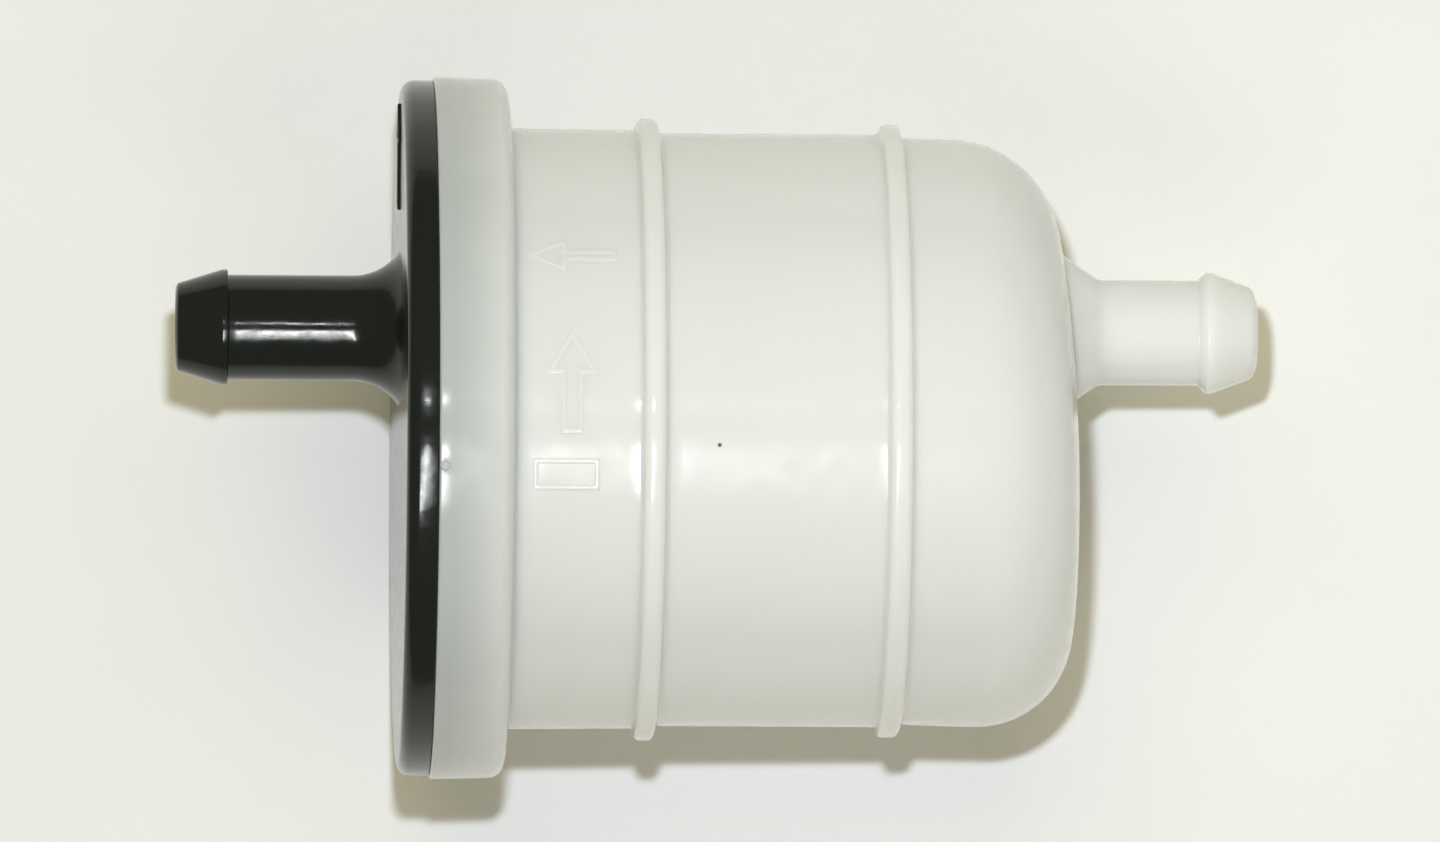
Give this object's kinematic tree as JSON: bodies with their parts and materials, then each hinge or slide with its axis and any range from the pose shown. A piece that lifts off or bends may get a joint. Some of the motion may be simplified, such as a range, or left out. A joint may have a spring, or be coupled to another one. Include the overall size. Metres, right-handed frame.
{
  "type": "fuel filter",
  "caption": "In-line fuel filter: white plastic bowl with a flange and ribs, black welded lid, offset hose barb on each end, pleated paper element inside.",
  "frame": {"origin": "on the barrel's axis, midway between its two ribs, where a holder grips it", "axes": "+X along the barrel towards the inlet barb, +Y towards the side marked to face up when fitted, +Z towards the side with the raised arrows"},
  "size_m": [0.0815, 0.0528, 0.0529],
  "materials": {
    "white_nylon": "milky translucent, satin gloss",
    "black_nylon": "moulded gloss",
    "seal_rubber": "matt",
    "cap_plastic": "moulded matt",
    "filter_paper": "resin-treated, fibrous",
    "clip_steel": "tinned",
    "core_plastic": "moulded matt",
    "adhesive": "cured plastisol, slightly glossy"
  },
  "bodies": {
    "root": {"bowl": "white_nylon", "lid": "black_nylon", "lid_seal": "seal_rubber", "open_end_cap": "cap_plastic", "paper_element": "filter_paper", "seam_clip": "clip_steel", "core": "core_plastic", "lid_side_adhesive": "adhesive", "dome_side_adhesive": "adhesive", "closed_end_cap": "cap_plastic"}
  },
  "joints": []
}
